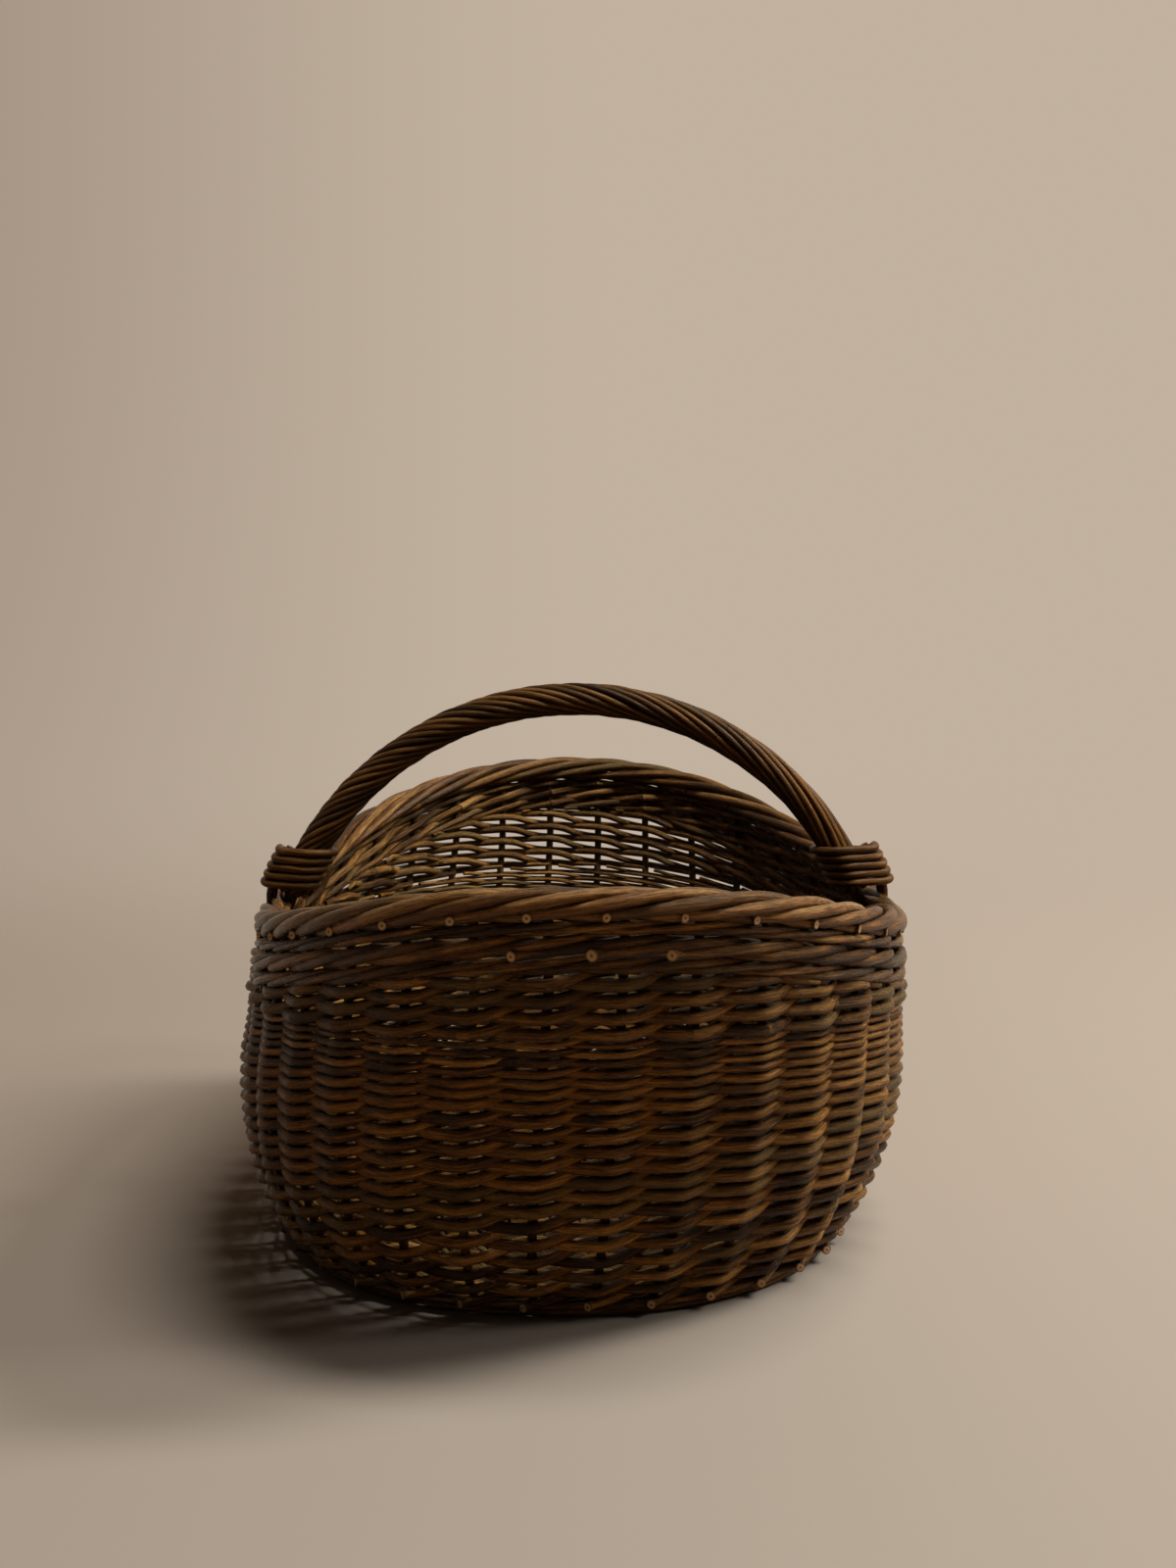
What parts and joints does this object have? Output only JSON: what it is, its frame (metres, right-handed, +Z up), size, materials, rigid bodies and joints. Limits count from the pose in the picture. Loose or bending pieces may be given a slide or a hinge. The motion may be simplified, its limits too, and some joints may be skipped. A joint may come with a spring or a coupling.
{
  "type": "basket planter",
  "caption": "Oval woven willow basket with raised ends, a plaited border and one roped bow handle lashed across its narrow way.",
  "frame": {"origin": "on the ground, under the middle of the overall outline", "axes": "+X along the handle, across the basket's narrow way, to the right as pictured; +Y along the oval's long way, away from the camera; +Z up"},
  "size_m": [0.37, 0.535, 0.3004],
  "materials": {
    "willow_stake": "satin",
    "willow_stick": "satin",
    "willow_base": "satin",
    "willow_weave": "satin",
    "willow_wale": "satin",
    "willow_border": "satin",
    "willow_roping": "satin"
  },
  "bodies": {
    "root": {"stake_01": "willow_stake", "stake_02": "willow_stake", "stake_03": "willow_stake", "stake_04": "willow_stake", "stake_05": "willow_stake", "stake_06": "willow_stake", "stake_07": "willow_stake", "stake_08": "willow_stake", "stake_09": "willow_stake", "stake_10": "willow_stake", "stake_11": "willow_stake", "stake_12": "willow_stake", "stake_13": "willow_stake", "stake_14": "willow_stake", "stake_15": "willow_stake", "stake_16": "willow_stake", "stake_17": "willow_stake", "stake_18": "willow_stake", "stake_19": "willow_stake", "stake_20": "willow_stake", "stake_21": "willow_stake", "stake_22": "willow_stake", "stake_23": "willow_stake", "stake_24": "willow_stake", "stake_25": "willow_stake", "stake_26": "willow_stake", "stake_27": "willow_stake", "stake_28": "willow_stake", "stake_29": "willow_stake", "stake_30": "willow_stake", "stake_31": "willow_stake", "stake_32": "willow_stake", "stake_33": "willow_stake", "stake_34": "willow_stake", "stake_35": "willow_stake", "stake_36": "willow_stake", "base_long_stick_1": "willow_stick", "base_long_stick_2": "willow_stick", "base_long_stick_3": "willow_stick", "base_cross_stick_1": "willow_stick", "base_cross_stick_2": "willow_stick", "base_cross_stick_3": "willow_stick", "base_cross_stick_4": "willow_stick", "base_cross_stick_5": "willow_stick", "base_weave": "willow_base", "foot_wale": "willow_wale", "side_weave": "willow_weave", "packing_near_end": "willow_weave", "packing_far_end": "willow_weave", "top_wale": "willow_wale", "border": "willow_border", "handle_bow": "willow_stick", "handle_roping": "willow_roping", "lashing_right": "willow_roping", "lashing_left": "willow_roping", "lashing_stay_right": "willow_roping", "lashing_stay_left": "willow_roping"}
  },
  "joints": []
}
